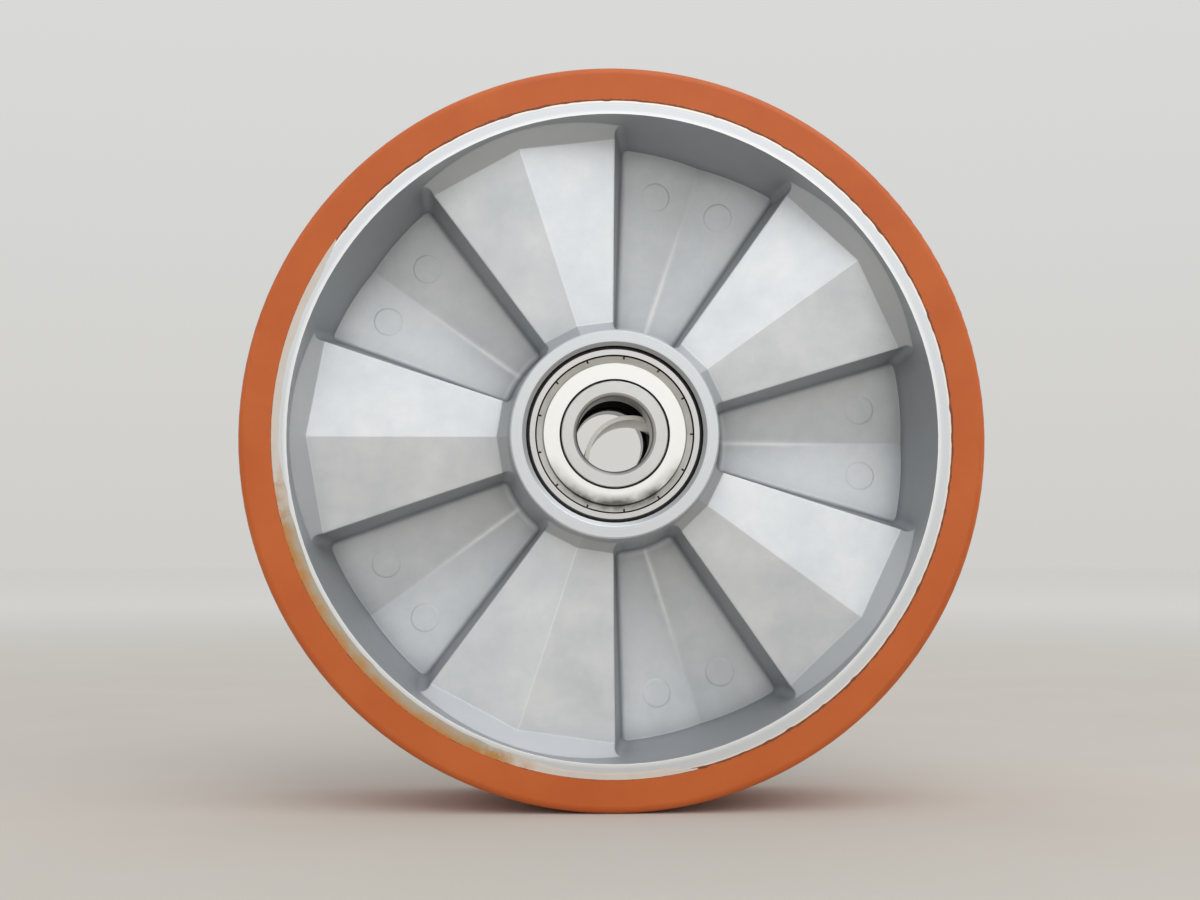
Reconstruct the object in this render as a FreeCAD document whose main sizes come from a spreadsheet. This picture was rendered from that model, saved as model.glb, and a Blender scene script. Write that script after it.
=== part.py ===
"""Pallet truck steering wheel: cast aluminium core, polyurethane tyre and two shielded ball bearings.

The origin is the wheel's centre, +Y runs along the axle towards the rear face and +Z is up.
"""
import FreeCAD, Part
import math
import os
import re

import Sketcher

SIZES = {
    # tyre and rim
    "wheel_diameter": 200.0,
    "tread_width": 50.0,
    "tyre_thickness": 9.3,
    "tyre_shoulder": 2.0,
    "rim_edge_width": 3.7,
    # hub, seats and the space between the bearings
    "hub_length": 58.0,
    "hub_face_diameter": 55.6,
    "hub_edge_chamfer": 0.4,
    "seat_recess": 0.8,
    "seat_lead_in": 1.1,
    "hub_cavity_diameter": 41.0,
    # folded web: five raised and five sunk sectors on each face
    "fold_count": 5,
    "roof_depth": 6.7,
    "valley_depth": 32.0,
    "fold_slope": 10.0,
    "wall_lean": 2.4,
    "casting_draft": 5.5,
    "rim_band_reach": 4.1,
    "rim_band_slope": 45.0,
    "hub_band_reach": 3.8,
    "hub_band_slope": 45.0,
    "pocket_fillet": 2.3,
    # ball bearing of the 20 x 47 x 14 mm size
    "bearing_bore": 20.0,
    "bearing_diameter": 47.0,
    "bearing_width": 14.0,
    "ring_chamfer": 1.0,
    "pitch_diameter": 33.5,
    "ball_diameter": 7.938,
    "ball_count": 8,
    "ball_play": 0.05,
    "race_radius": 4.13,
    "inner_land_diameter": 28.4,
    "inner_land_chamfer": 0.3,
    "outer_land_diameter": 38.8,
    # pressed steel shields, crimped into a groove of the outer ring
    "shield_mouth_diameter": 42.2,
    "shield_groove_depth": 0.45,
    "shield_seat_depth": 1.9,
    "shield_sheet": 0.4,
    "shield_sink": 0.2,
    "shield_gap": 0.3,
    "shield_face_diameter": 37.6,
    "crimp_drop": 0.7,
    "crimp_rise": 0.35,
    "crimp_count": 13,
    "crimp_slit": 0.5,
    # pressed two-part cage
    "cage_sheet": 0.6,
    "cage_ball_play": 0.12,
    "cage_width": 3.4,
    "rivet_diameter": 1.5,
    "rivet_head_diameter": 2.4,
    "rivet_head_height": 0.5,
    # loose tube between the inner rings
    "spacer_diameter": 25.0,
    "spacer_wall": 1.2,
    "spacer_play": 0.4,
    "spacer_seat_gap": 0.05,
    "spacer_lean": 37.0,
}

doc = FreeCAD.newDocument("pallet_truck_wheel")
sheet = doc.addObject("Spreadsheet::Sheet", "sizes")
for row, (alias, value) in enumerate(SIZES.items(), start=1):
    sheet.set(f"A{row}", alias)
    sheet.set(f"B{row}", str(value))
    sheet.setAlias(f"B{row}", alias)
doc.recompute()


def bound(text):
    """An expression written with the sheet's aliases, as FreeCAD reads it."""
    return re.sub(r"[a-z_]+", lambda word: f"sizes.{word[0]}" if word[0] in SIZES else word[0], text)


def worth(text):
    """What an expression in the sheet's aliases comes to now."""
    return float(sheet.evalExpression(bound(text)))


# Radii and places that several pieces share
RIM_R = "(wheel_diameter / 2 - tyre_thickness)"
RIM_MOUTH_R = f"({RIM_R} - rim_edge_width)"
HUB_FACE_R = "(hub_face_diameter / 2)"
RIM_Y = "(tread_width / 2)"
HUB_Y = "(hub_length / 2)"
BEARING_Y = "(hub_length / 2 - seat_recess - bearing_width / 2)"
SEAT_Y = "(hub_length / 2 - seat_recess - bearing_width)"
BEARING_R = "(bearing_diameter / 2)"
CAVITY_R = "(hub_cavity_diameter / 2)"
PITCH_R = "(pitch_diameter / 2)"
BALL_R = "(ball_diameter / 2)"
OUTER_RACE_R = f"({PITCH_R} + {BALL_R} + ball_play)"
INNER_RACE_R = f"({PITCH_R} - {BALL_R} - ball_play)"


def new_body(node):
    body = doc.addObject("PartDesign::Body", node)
    body.Label = node
    return body


def origin_part(body, role):
    return next(part for part in body.Origin.OriginFeatures if part.Role == role)


def new_sketch(body, name, plane):
    sketch = body.newObject("Sketcher::SketchObject", name)
    sketch.AttachmentSupport = [(origin_part(body, plane), "")]
    sketch.MapMode = "FlatFace"
    return sketch


def hold_point(sketch, edge, corner, place, name):
    """Tie one point of the sketch to the two expressions of its place."""
    for kind, axis, text in zip(("DistanceX", "DistanceY"), (-2, -1), place):
        if text == "0":
            sketch.addConstraint(Sketcher.Constraint("PointOnObject", edge, corner, axis))
            continue
        number = sketch.addConstraint(Sketcher.Constraint(kind, -1, 1, edge, corner, worth(text)))
        sketch.renameConstraint(number, f"{name}_{kind[-1].lower()}")
        sketch.setExpression(f"Constraints[{number}]", bound(text))


def outline(body, name, places, plane="XY_Plane"):
    """A closed outline of straight lines through places, each a pair of expressions."""
    sketch = new_sketch(body, name, plane)
    points = [FreeCAD.Vector(worth(u), worth(v), 0) for u, v in places]
    for i, point in enumerate(points):
        sketch.addGeometry(Part.LineSegment(point, points[(i + 1) % len(points)]), False)
    for i, place in enumerate(places):
        sketch.addConstraint(Sketcher.Constraint("Coincident", i, 2, (i + 1) % len(places), 1))
        hold_point(sketch, i, 1, place, f"p{i}")
    return sketch


def disc(body, name, place, radius, plane="XY_Plane"):
    """A circle about a place."""
    sketch = new_sketch(body, name, plane)
    centre = FreeCAD.Vector(worth(place[0]), worth(place[1]), 0)
    sketch.addGeometry(Part.Circle(centre, FreeCAD.Vector(0, 0, 1), worth(radius)), False)
    hold_point(sketch, 0, 3, place, "centre")
    number = sketch.addConstraint(Sketcher.Constraint("Radius", 0, worth(radius)))
    sketch.setExpression(f"Constraints[{number}]", bound(radius))
    return sketch


def turned(body, name, sketch, kind="PartDesign::Revolution"):
    """A full turn of a sketch about the wheel's axle."""
    feature = body.newObject(kind, name)
    feature.Profile = sketch
    feature.ReferenceAxis = (sketch, ["V_Axis"])
    feature.Angle = 360
    doc.recompute()
    return feature


def repeated(body, name, features, count):
    """The same features set round the axle."""
    pattern = body.newObject("PartDesign::PolarPattern", name)
    pattern.Originals = features
    pattern.Axis = (origin_part(body, "Y_Axis"), [""])
    pattern.Angle = 360
    pattern.setExpression("Occurrences", bound(count))
    body.Tip = pattern
    doc.recompute()
    return pattern


# The air in front of the core's web. Each face has as many raised sectors as sunk ones, and the metal of
# one face's raised sector is the sunk floor of the other. Depths count from the rim's edge, along +Y.
SECTOR = "(180 / fold_count)"
HALF_SECTOR = "(90 / fold_count)"
QUARTER_SECTOR = "(45 / fold_count)"
# How far a solid to cut with reaches past what it cuts, and past that again
LIP = "(rim_edge_width / 4)"
CLEAR = f"(2 * {LIP})"
AIR_Y = f"(-{HUB_Y} - {LIP})"


def at_depth(depth):
    return f"({depth} - {RIM_Y})"


def station(body, name, bearing, radius, places):
    """An outline across a radial line that stands at an angle, where that line has the radius given."""
    sketch = outline(body, name, places, "YZ_Plane")
    turn = FreeCAD.Rotation(FreeCAD.Vector(1, 0, 0), -worth(bearing))
    sketch.AttachmentOffset = FreeCAD.Placement(FreeCAD.Vector(0, 0, worth(radius)), turn)
    sketch.setExpression("AttachmentOffset.Base.y", bound(f"{radius} * sin({bearing})"))
    sketch.setExpression("AttachmentOffset.Base.z", bound(f"{radius} * cos({bearing})"))
    return sketch


def lofted(body, name, stations, kind):
    """Straight lines from station to station, added to the body or cut from it."""
    feature = body.newObject(kind, name)
    feature.Profile = stations[0]
    feature.Sections = stations[1:]
    feature.Ruled = True
    doc.recompute()
    return feature


def raised_sides(body, name):
    """Cuts the air away over a raised sector, between two walls that lean out towards their feet."""
    foot_spread = f"(tan({HALF_SECTOR} + wall_lean) - tan({HALF_SECTOR}))"
    stations = []
    for number, along in enumerate((f"({BEARING_R} * cos({HALF_SECTOR}))", RIM_R)):
        corners = []
        for y in (f"({AIR_Y} - {LIP})", at_depth(f"valley_depth + {CLEAR}")):
            share = f"(({y} - {at_depth('roof_depth')}) / (valley_depth - roof_depth))"
            corners.append((y, f"({along} * (tan({HALF_SECTOR}) + {foot_spread} * {share}))"))
        corners += [(y, f"-{reach}") for y, reach in reversed(corners)]
        stations.append(station(body, f"{name}_station_{number}", SECTOR, along, corners))
    return lofted(body, name, stations, "PartDesign::SubtractiveLoft")


def roof_air(body, name, side):
    """Puts air back over one roof facet of a raised sector, with sloped bands at the hub and at the rim."""
    bearing = f"({SECTOR} + {side} * {QUARTER_SECTOR})"
    hub_band_r = f"({HUB_FACE_R} + hub_band_reach)"
    rim_band_r = f"({RIM_MOUTH_R} - rim_band_reach)"
    rises = {
        BEARING_R: f"({hub_band_r} - {BEARING_R}) * tan(hub_band_slope)",
        hub_band_r: "0",
        rim_band_r: "0",
        RIM_R: f"({RIM_R} - {rim_band_r}) * tan(rim_band_slope)",
    }
    past_wall = f"({QUARTER_SECTOR} + wall_lean)"
    stations = []
    for number, (radius, rise) in enumerate(rises.items()):
        along = f"({radius} * cos({QUARTER_SECTOR}))"
        from_ridge = f"({along} / cos({past_wall}) * sin({QUARTER_SECTOR} + {past_wall}))"
        ridge = at_depth(f"roof_depth - ({rise})")
        edge = at_depth(f"roof_depth + {from_ridge} * tan(fold_slope) - ({rise})")
        ridge_side = f"-({side}) * {along} * tan({QUARTER_SECTOR})"
        wall_side = f"{side} * {along} * tan({past_wall})"
        places = [(ridge, ridge_side), (edge, wall_side), (AIR_Y, wall_side), (AIR_Y, ridge_side)]
        stations.append(station(body, f"{name}_station_{number}", bearing, along, places))
    return lofted(body, name, stations, "PartDesign::AdditiveLoft")


def folded_floor(body, name):
    """Cuts the air off at the two sloped facets of a sunk sector's floor, either side of its valley line."""
    stations = []
    for number, radius in enumerate((BEARING_R, RIM_R)):
        reach = f"({radius} * tan({HALF_SECTOR}))"
        edge = at_depth(f"valley_depth - {reach} * tan(fold_slope)")
        bottom = at_depth(f"valley_depth + {CLEAR}")
        places = [
            (edge, f"-{reach}"),
            (at_depth("valley_depth"), "0"),
            (edge, reach),
            (bottom, reach),
            (bottom, f"-{reach}"),
        ]
        stations.append(station(body, f"{name}_station_{number}", "0", radius, places))
    return lofted(body, name, stations, "PartDesign::SubtractiveLoft")


def pocket_corners(shape):
    """Names of the edges at the feet and the ends of the sunk sectors' walls, and at the hub's foot."""
    half_way_y = worth(at_depth("(roof_depth + valley_depth) / 2"))
    half_way_r = worth(f"({HUB_FACE_R} + {RIM_MOUTH_R}) / 2")
    fold = 360 / worth("fold_count")
    names = []
    for number, edge in enumerate(shape.Edges, start=1):
        ends = [vertex.Point for vertex in edge.Vertexes]
        depths = [end.y for end in ends]
        bearings = [math.degrees(math.atan2(end.z, end.x)) % fold for end in ends]
        on_valley_line = all(min(bearing, fold - bearing) < 1 for bearing in bearings)
        at_rim = all(math.hypot(end.x, end.z) > half_way_r for end in ends)
        at_rim_foot = at_rim and min(depths) > half_way_y
        if max(depths) > half_way_y and not on_valley_line and not at_rim_foot:
            names.append(f"Edge{number}")
    return names


def face_hollows(name):
    """The air in front of the core's web, as a solid to cut with."""
    body = new_body(name)
    floor_y = at_depth("valley_depth")
    ring = outline(body, f"{name}_ring", [
        (BEARING_R, AIR_Y),
        (RIM_R, AIR_Y),
        (RIM_R, floor_y),
        (BEARING_R, floor_y),
    ])
    turned(body, f"{name}_turned", ring)
    fold = [
        raised_sides(body, f"{name}_sides"),
        roof_air(body, f"{name}_roof_a", "-1"),
        roof_air(body, f"{name}_roof_b", "1"),
        folded_floor(body, f"{name}_floor"),
    ]
    repeated(body, f"{name}_folds", fold, "fold_count")
    start_y, end_y = f"({AIR_Y} - {LIP})", f"({floor_y} + {LIP})"
    hub_wall_length = f"({end_y} + {HUB_Y} - hub_edge_chamfer)"
    hub_side = outline(body, f"{name}_hub_side", [
        (f"({BEARING_R} - {LIP})", start_y),
        (f"({HUB_FACE_R} - hub_edge_chamfer - {CLEAR})", start_y),
        (HUB_FACE_R, f"(hub_edge_chamfer - {HUB_Y})"),
        (f"({HUB_FACE_R} + {hub_wall_length} * tan(casting_draft))", end_y),
        (f"({BEARING_R} - {LIP})", end_y),
    ])
    turned(body, f"{name}_hub_wall", hub_side, "PartDesign::Groove")
    rim_side = outline(body, f"{name}_rim_side", [
        (f"({RIM_MOUTH_R} - ({start_y} + {RIM_Y}) * tan(casting_draft))", start_y),
        (f"({RIM_R} + {LIP})", start_y),
        (f"({RIM_R} + {LIP})", end_y),
        (f"({RIM_MOUTH_R} - ({end_y} + {RIM_Y}) * tan(casting_draft))", end_y),
    ])
    walled = turned(body, f"{name}_rim_wall", rim_side, "PartDesign::Groove")
    rounded = body.newObject("PartDesign::Fillet", f"{name}_rounded")
    rounded.Base = (walled, pocket_corners(walled.Shape))
    # a pocket's rounded corner ends within the sloped bands beside it
    rounded.setExpression("Radius", bound("min(pocket_fillet; 0.7 * hub_band_reach; 0.65 * rim_band_reach)"))
    body.Tip = rounded
    doc.recompute()
    return body


def wheel_core():
    """One aluminium casting: rim, folded web and hub, with the bearing seats turned in it."""
    body = new_body("wheel_core")
    hub_blank_r = f"({HUB_FACE_R} + hub_band_reach)"
    lead_y = f"({HUB_Y} - seat_lead_in / 2)"
    half = [
        (CAVITY_R, SEAT_Y),
        (BEARING_R, SEAT_Y),
        (BEARING_R, lead_y),
        (f"({BEARING_R} + seat_lead_in)", HUB_Y),
        (hub_blank_r, HUB_Y),
        (hub_blank_r, RIM_Y),
        (RIM_R, RIM_Y),
    ]
    mirrored = [(radius, f"-{y}") for radius, y in reversed(half)]
    turned(body, "core_turned", outline(body, "core_section", half + mirrored))
    front = face_hollows("front_hollows")
    rear = face_hollows("rear_hollows")
    angle = math.radians(worth(HALF_SECTOR))
    flip_axis = FreeCAD.Vector(math.cos(angle), 0, math.sin(angle))
    rear.Placement = FreeCAD.Placement(FreeCAD.Vector(), FreeCAD.Rotation(flip_axis, 180))
    hollow = body.newObject("PartDesign::Boolean", "core_hollowed")
    hollow.setObjects([front, rear])
    hollow.Type = "Cut"
    body.Tip = hollow
    doc.recompute()
    return body


def tyre():
    """Polyurethane tread, cast onto the rim, with rounded shoulders."""
    body = new_body("tyre")
    section = outline(body, "tyre_section", [
        (RIM_R, f"-{RIM_Y}"),
        ("wheel_diameter / 2", f"-{RIM_Y}"),
        ("wheel_diameter / 2", RIM_Y),
        (RIM_R, RIM_Y),
    ])
    ring = turned(body, "tyre_turned", section)
    tread_r = worth("wheel_diameter / 2")
    edges = []
    for number, edge in enumerate(ring.Shape.Edges, start=1):
        if isinstance(edge.Curve, Part.Circle) and abs(edge.Curve.Radius - tread_r) < 1e-6:
            edges.append(f"Edge{number}")
    shoulders = body.newObject("PartDesign::Fillet", "tyre_shoulders")
    shoulders.Base = (ring, edges)
    shoulders.setExpression("Radius", bound("tyre_shoulder"))
    body.Tip = shoulders
    doc.recompute()
    return body


def outer_ring(node):
    body = new_body(node)
    half_width = "(bearing_width / 2)"
    mouth_r = "(shield_mouth_diameter / 2)"
    groove_r = f"({mouth_r} + shield_groove_depth)"
    seat_y = f"({half_width} - shield_seat_depth)"
    half = [
        ("outer_land_diameter / 2", seat_y),
        (groove_r, seat_y),
        (groove_r, f"({seat_y} + shield_groove_depth)"),
        (mouth_r, f"({seat_y} + 2 * shield_groove_depth)"),
        (mouth_r, half_width),
        (f"({BEARING_R} - ring_chamfer)", half_width),
        (BEARING_R, f"({half_width} - ring_chamfer)"),
    ]
    mirrored = [(radius, f"-{y}") for radius, y in reversed(half)]
    turned(body, f"{node}_turned", outline(body, f"{node}_section", half + mirrored))
    race = disc(body, f"{node}_race_section", (f"({OUTER_RACE_R} - race_radius)", "0"), "race_radius")
    body.Tip = turned(body, f"{node}_race", race, "PartDesign::Groove")
    return body


def inner_ring(node):
    body = new_body(node)
    half_width = "(bearing_width / 2)"
    bore_r = "(bearing_bore / 2)"
    land_r = "(inner_land_diameter / 2)"
    half = [
        (bore_r, f"({half_width} - ring_chamfer)"),
        (f"({bore_r} + ring_chamfer)", half_width),
        (f"({land_r} - inner_land_chamfer)", half_width),
        (land_r, f"({half_width} - inner_land_chamfer)"),
    ]
    mirrored = [(radius, f"-{y}") for radius, y in reversed(half)]
    turned(body, f"{node}_turned", outline(body, f"{node}_section", half + mirrored))
    race = disc(body, f"{node}_race_section", (f"({INNER_RACE_R} + race_radius)", "0"), "race_radius")
    body.Tip = turned(body, f"{node}_race", race, "PartDesign::Groove")
    return body


def shield(node):
    """A dished ring of thin sheet whose edge is crimped into the outer ring, slit where it was pressed."""
    body = new_body(node)
    face_y = "(shield_sink - bearing_width / 2)"
    seat_y = "(shield_seat_depth - bearing_width / 2)"
    inner_r = "(inner_land_diameter / 2 + shield_gap)"
    step_r = "(shield_face_diameter / 2)"
    mouth_r = "(shield_mouth_diameter / 2)"
    edge_r = f"({mouth_r} + shield_groove_depth / 2)"
    low_y = f"({face_y} + crimp_drop)"
    high_y = f"({low_y} - crimp_rise)"
    section = outline(body, f"{node}_section", [
        (inner_r, face_y),
        (step_r, face_y),
        (f"({step_r} + shield_sheet)", low_y),
        (f"({mouth_r} - shield_sheet)", high_y),
        (edge_r, f"({seat_y} - shield_sheet)"),
        (edge_r, seat_y),
        (f"({mouth_r} - shield_sheet)", seat_y),
        (f"({mouth_r} - 2 * shield_sheet)", f"({high_y} + shield_sheet)"),
        (step_r, f"({low_y} + shield_sheet)"),
        (f"({step_r} - shield_sheet)", f"({face_y} + shield_sheet)"),
        (inner_r, f"({face_y} + shield_sheet)"),
    ])
    turned(body, f"{node}_turned", section)
    near, far = f"({step_r} + 3 * shield_sheet)", f"({edge_r} + shield_sheet)"
    slit_section = outline(body, f"{node}_slit_section", [
        (near, "-crimp_slit / 2"),
        (far, "-crimp_slit / 2"),
        (far, "crimp_slit / 2"),
        (near, "crimp_slit / 2"),
    ], "XZ_Plane")
    slit = body.newObject("PartDesign::Pocket", f"{node}_slit")
    slit.Profile = slit_section
    slit.Type = "ThroughAll"
    slit.Midplane = True
    doc.recompute()
    repeated(body, f"{node}_slits", [slit], "crimp_count")
    return body


def ball_pocket(body, name, kind, radius):
    """A sphere on the pitch circle, turned so that its poles and its seam fall on what is cut away."""
    sphere = body.newObject(kind, name)
    sphere.Placement = FreeCAD.Placement(FreeCAD.Vector(), FreeCAD.Rotation(FreeCAD.Vector(1, 1, 1), 120))
    sphere.setExpression("Radius", bound(radius))
    sphere.setExpression("Placement.Base.x", bound(PITCH_R))
    doc.recompute()
    return sphere


def cage_half(node):
    """A pressed ribbon that bulges round each ball and lies flat between them, on the -Y side."""
    body = new_body(node)
    inner_r = f"({PITCH_R} - cage_width / 2)"
    outer_r = f"({PITCH_R} + cage_width / 2)"
    pocket_r = f"({BALL_R} + cage_ball_play)"
    shell_r = f"({pocket_r} + cage_sheet)"
    flat = outline(body, f"{node}_section", [
        (inner_r, "-cage_sheet"),
        (outer_r, "-cage_sheet"),
        (outer_r, "0"),
        (inner_r, "0"),
    ])
    turned(body, f"{node}_turned", flat)
    bulge = ball_pocket(body, f"{node}_bulge", "PartDesign::AdditiveSphere", shell_r)
    repeated(body, f"{node}_bulges", [bulge], "ball_count")
    far = f"({shell_r} + {CLEAR})"
    trim = outline(body, f"{node}_trim_section", [
        (f"({PITCH_R} - {far})", far),
        (f"({PITCH_R} + {far})", far),
        (f"({PITCH_R} + {far})", f"-{far}"),
        (outer_r, f"-{far}"),
        (outer_r, "0"),
        (inner_r, "0"),
        (inner_r, f"-{far}"),
        (f"({PITCH_R} - {far})", f"-{far}"),
    ])
    turned(body, f"{node}_trim", trim, "PartDesign::Groove")
    pocket = ball_pocket(body, f"{node}_pocket", "PartDesign::SubtractiveSphere", pocket_r)
    repeated(body, f"{node}_pockets", [pocket], "ball_count")
    half_step = "(180 / ball_count)"
    hole_place = (f"({PITCH_R} * cos({half_step}))", f"({PITCH_R} * sin({half_step}))")
    hole = body.newObject("PartDesign::Pocket", f"{node}_hole")
    hole.Profile = disc(body, f"{node}_hole_section", hole_place, "rivet_diameter / 2", "XZ_Plane")
    hole.Type = "ThroughAll"
    hole.Midplane = True
    doc.recompute()
    repeated(body, f"{node}_holes", [hole], "ball_count")
    return body


def cage_rivets(node):
    """One rivet between each two balls, with a flat head on both halves of the cage."""
    body = new_body(node)
    half_step = "(180 / ball_count)"
    place = (f"({PITCH_R} * cos({half_step}))", f"({PITCH_R} * sin({half_step}))")
    shank = body.newObject("PartDesign::Pad", f"{node}_shank")
    shank.Profile = disc(body, f"{node}_shank_section", place, "rivet_diameter / 2", "XZ_Plane")
    shank.Midplane = True
    shank.setExpression("Length", bound("2 * (cage_sheet + rivet_head_height)"))
    doc.recompute()
    features = [shank]
    for word, sign in (("outer", "-"), ("inner", "")):
        section = disc(body, f"{node}_{word}_head_section", place, "rivet_head_diameter / 2", "XZ_Plane")
        section.setExpression("AttachmentOffset.Base.z", bound(f"-({sign}cage_sheet)"))
        head = body.newObject("PartDesign::Pad", f"{node}_{word}_head")
        head.Profile = section
        head.Reversed = word == "inner"
        head.setExpression("Length", bound("rivet_head_height"))
        doc.recompute()
        features.append(head)
    repeated(body, f"{node}_set", features, "ball_count")
    return body


def ball(node, number, side):
    piece = doc.addObject("Part::Sphere", node)
    piece.Label = node
    angle = f"{side} * 360 / ball_count * {number}"
    piece.setExpression("Radius", bound(BALL_R))
    piece.setExpression("Placement.Base.x", bound(f"{side} * {PITCH_R} * cos({angle})"))
    piece.setExpression("Placement.Base.y", bound(f"-({side}) * {BEARING_Y}"))
    piece.setExpression("Placement.Base.z", bound(f"{PITCH_R} * sin({side} * {angle})"))
    return piece


def bearing(end, side):
    """One shielded ball bearing in its seat. Side is 1 at the front and -1 at the rear, turned about Z."""
    pieces = [
        outer_ring(f"{end}_outer_ring"),
        inner_ring(f"{end}_inner_ring"),
        shield(f"{end}_outer_shield"),
        shield(f"{end}_inner_shield"),
        cage_half(f"{end}_cage_outer"),
        cage_half(f"{end}_cage_inner"),
        cage_rivets(f"{end}_cage_rivets"),
    ]
    for piece in pieces:
        # the pieces named inner face the hub's cavity
        turned_round = (side == "-1") != piece.Label.endswith(("_inner_shield", "_cage_inner"))
        turn = FreeCAD.Rotation(FreeCAD.Vector(0, 0, 1), 180 if turned_round else 0)
        piece.Placement = FreeCAD.Placement(FreeCAD.Vector(), turn)
        piece.setExpression("Placement.Base.y", bound(f"-({side}) * {BEARING_Y}"))
    count = round(worth("ball_count"))
    return pieces + [ball(f"{end}_ball_{number}", number, side) for number in range(1, count + 1)]


def spacer_tube():
    """A plain tube that an axle would centre. With no axle it lies on the wall of the hub's cavity."""
    body = new_body("spacer_tube")
    half_length = f"({SEAT_Y} - spacer_play / 2)"
    outer_r = "(spacer_diameter / 2)"
    inner_r = f"({outer_r} - spacer_wall)"
    section = outline(body, "spacer_section", [
        (inner_r, f"-{half_length}"),
        (outer_r, f"-{half_length}"),
        (outer_r, half_length),
        (inner_r, half_length),
    ])
    body.Tip = turned(body, "spacer_turned", section)
    drop = f"({CAVITY_R} - {outer_r} - spacer_seat_gap)"
    body.setExpression("Placement.Base.x", bound(f"{drop} * sin(spacer_lean)"))
    body.setExpression("Placement.Base.z", bound(f"-{drop} * cos(spacer_lean)"))
    return body


nodes = [wheel_core(), tyre(), spacer_tube()]
nodes += bearing("front", "1") + bearing("rear", "-1")
doc.recompute()

failed = [thing.Name for thing in doc.Objects if {"Invalid", "Error"} & set(thing.State)]
failed += [node.Label for node in nodes if node.Shape.isNull() or not node.Shape.isValid()]
if failed:
    raise RuntimeError(f"these objects failed: {failed}")

os.makedirs("parts", exist_ok=True)
for node in nodes:
    node.Shape.exportStep(f"parts/{node.Label}.step")
    print(f"{node.Label}: {len(node.Shape.Solids)} solid(s), {node.Shape.Volume:.1f} mm3")
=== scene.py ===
import math

import bmesh
import bpy
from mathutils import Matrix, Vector, noise


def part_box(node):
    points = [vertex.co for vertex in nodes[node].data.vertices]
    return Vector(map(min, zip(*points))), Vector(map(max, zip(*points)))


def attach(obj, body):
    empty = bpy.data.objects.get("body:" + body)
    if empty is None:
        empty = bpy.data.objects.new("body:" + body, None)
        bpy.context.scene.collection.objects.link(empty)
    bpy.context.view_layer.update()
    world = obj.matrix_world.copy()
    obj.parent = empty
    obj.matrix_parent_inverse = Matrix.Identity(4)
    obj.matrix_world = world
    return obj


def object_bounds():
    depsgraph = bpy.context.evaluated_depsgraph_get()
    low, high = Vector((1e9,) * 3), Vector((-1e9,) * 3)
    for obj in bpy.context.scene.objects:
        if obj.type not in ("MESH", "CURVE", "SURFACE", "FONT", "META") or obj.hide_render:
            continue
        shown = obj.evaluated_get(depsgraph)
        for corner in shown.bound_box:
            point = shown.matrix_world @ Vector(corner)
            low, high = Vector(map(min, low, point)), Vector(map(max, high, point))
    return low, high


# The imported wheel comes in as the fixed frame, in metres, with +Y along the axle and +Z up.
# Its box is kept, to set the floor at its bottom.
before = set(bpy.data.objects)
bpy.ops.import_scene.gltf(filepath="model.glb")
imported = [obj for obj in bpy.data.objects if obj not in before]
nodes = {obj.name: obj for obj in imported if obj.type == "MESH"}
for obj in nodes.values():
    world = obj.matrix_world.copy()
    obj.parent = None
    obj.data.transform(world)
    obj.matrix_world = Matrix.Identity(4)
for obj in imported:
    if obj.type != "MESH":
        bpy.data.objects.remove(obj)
cad_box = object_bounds()
scene = bpy.context.scene
scene.view_settings.view_transform = "Standard"
mm = 0.001


# Wheel core: rim, folded web and hub in one pressure die casting of aluminium alloy. The skin is as it left
# the die, and the rim's edges, the hub's faces and the bearing seats were turned on a lathe afterwards.
rim_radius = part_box("wheel_core")[1].x
rim_edge_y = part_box("tyre")[1].y
rim_edge_inside = rim_radius - 3.7 * mm
rim_edge_margin = 0.03 * mm
rim_zone = 10 * mm
inner_glint_width = 1.2 * mm
creamy_edge_width = 0.8 * mm
hub_face_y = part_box("wheel_core")[1].y
hub_face_margin = 0.45 * mm
ring_face_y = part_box("rear_outer_ring")[1].y
seat_radius = 24.8 * mm
lead_in_radius = 24.6 * mm
lead_in_blend = 0.2 * mm
joint_radius = 23.5 * mm
joint_blend = 0.3 * mm
cavity_radius = 22 * mm
web_folds = 10
web_half_height = 12.5 * mm
ridge_line_width = 0.5 * mm
wear_highlight_end = rim_radius - 7.5 * mm
wear_highlight_fade = 1.5 * mm
highlight_band_width = 2.6 * mm
highlight_fade_from, highlight_fade_to = 45 * mm, 68 * mm
skin_patch = 14 * mm
skin_grain = 0.8 * mm
skin_relief = 0.06 * mm
lathe_pitch = 0.35 * mm
corner_reach = 7 * mm
cast_edge_rounding = 0.8 * mm
turned_edge_rounding = 0.15 * mm


def linear(colour):
    """An sRGB hex value as the linear colour that a socket takes."""
    parts = [int(colour[start:start + 2], 16) / 255 for start in (1, 3, 5)]
    return [part / 12.92 if part <= 0.04045 else ((part + 0.055) / 1.055) ** 2.4 for part in parts] + [1]


def add_node(tree, kind, inputs=None, **settings):
    """Adds a node. Inputs gives sockets, by name or number, a value or another node's output.

    A Mix node has a factor at 0, two numbers at 2 and 3, and two colours at 6 and 7.
    """
    node = tree.nodes.new(kind)
    for setting, value in settings.items():
        setattr(node, setting, value)
    for socket, value in (inputs or {}).items():
        if isinstance(value, bpy.types.NodeSocket):
            tree.links.new(value, node.inputs[socket])
        else:
            node.inputs[socket].default_value = value
    return node


def new_material(name, shader):
    """An empty material whose output takes one Principled shader with the constants given."""
    material = bpy.data.materials.new(name)
    material.use_nodes = True
    tree = material.node_tree
    tree.nodes.clear()
    surface = add_node(tree, "ShaderNodeBsdfPrincipled", shader)
    add_node(tree, "ShaderNodeOutputMaterial", {"Surface": surface.outputs[0]})
    return material, tree, surface


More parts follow.
